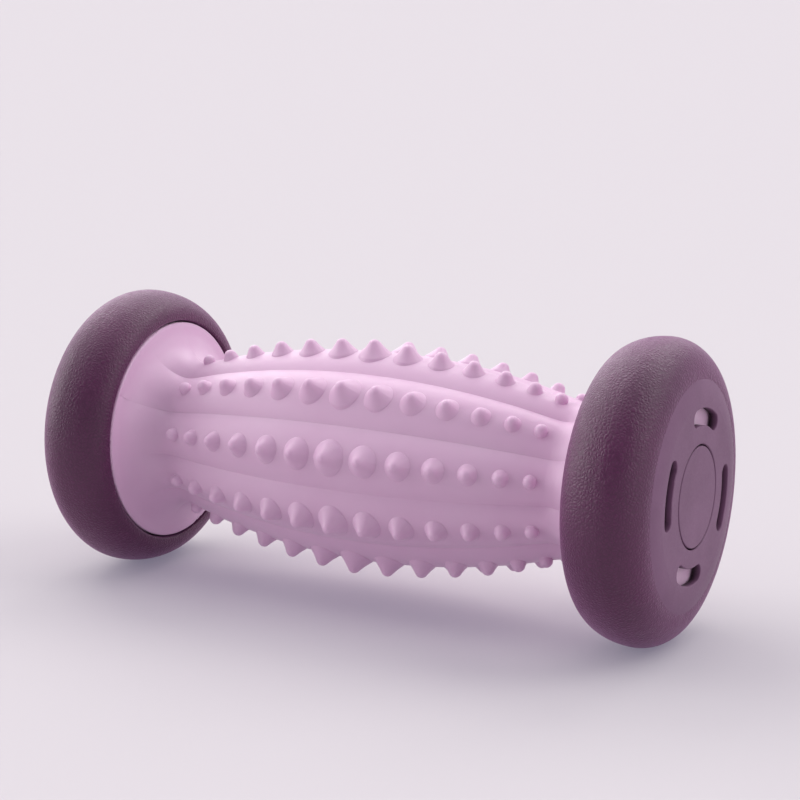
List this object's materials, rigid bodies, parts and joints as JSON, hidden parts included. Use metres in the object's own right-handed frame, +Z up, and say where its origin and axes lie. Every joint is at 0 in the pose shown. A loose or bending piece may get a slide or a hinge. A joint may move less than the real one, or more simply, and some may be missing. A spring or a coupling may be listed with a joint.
{
  "type": "foot massage roller",
  "caption": "Foot massage roller: a nubbed, ribbed barrel that rolls underfoot on an axle between two free-turning rubber-tyred wheels.",
  "frame": {"origin": "middle of the axle, which is the centre of the whole roller", "axes": "+X along the axle and the roller's length, +Z up with the roller lying on its two wheels, -Y the side that faces the user"},
  "size_m": [0.165, 0.072, 0.072],
  "materials": {
    "lilac_plastic": "satin moulded polypropylene, lilac",
    "plum_tread": "soft thermoplastic rubber, plum, leather grain",
    "plum_hub": "fine matte moulded plastic, plum",
    "white_acetal": "natural acetal, satin",
    "steel": "turned mild steel, bright",
    "zinc_steel": "zinc plated steel"
  },
  "bodies": {
    "barrel": {"barrel_upper_shell": "lilac_plastic", "barrel_lower_shell": "lilac_plastic", "axle": "steel", "left_end_disc": "lilac_plastic", "left_thrust_washer": "white_acetal", "left_retaining_washer": "zinc_steel", "left_lock_washer": "steel", "left_axle_screw": "zinc_steel", "right_end_disc": "lilac_plastic", "right_thrust_washer": "white_acetal", "right_retaining_washer": "zinc_steel", "right_lock_washer": "steel", "right_axle_screw": "zinc_steel"},
    "left_wheel": {"left_wheel_hub": "plum_hub", "left_tyre": "plum_tread", "left_inner_bush": "white_acetal", "left_outer_bush": "white_acetal", "left_hub_cap": "plum_hub"},
    "right_wheel": {"right_wheel_hub": "plum_hub", "right_tyre": "plum_tread", "right_inner_bush": "white_acetal", "right_outer_bush": "white_acetal", "right_hub_cap": "plum_hub"}
  },
  "joints": [
    {"name": "left_wheel_spin", "type": "hinge", "parent": "barrel", "child": "left_wheel", "pos_m": [-0.0707, 0, 0], "axis": [1, 0, 0], "continuous": true},
    {"name": "right_wheel_spin", "type": "hinge", "parent": "barrel", "child": "right_wheel", "pos_m": [0.0707, 0, 0], "axis": [1, 0, 0], "continuous": true}
  ]
}
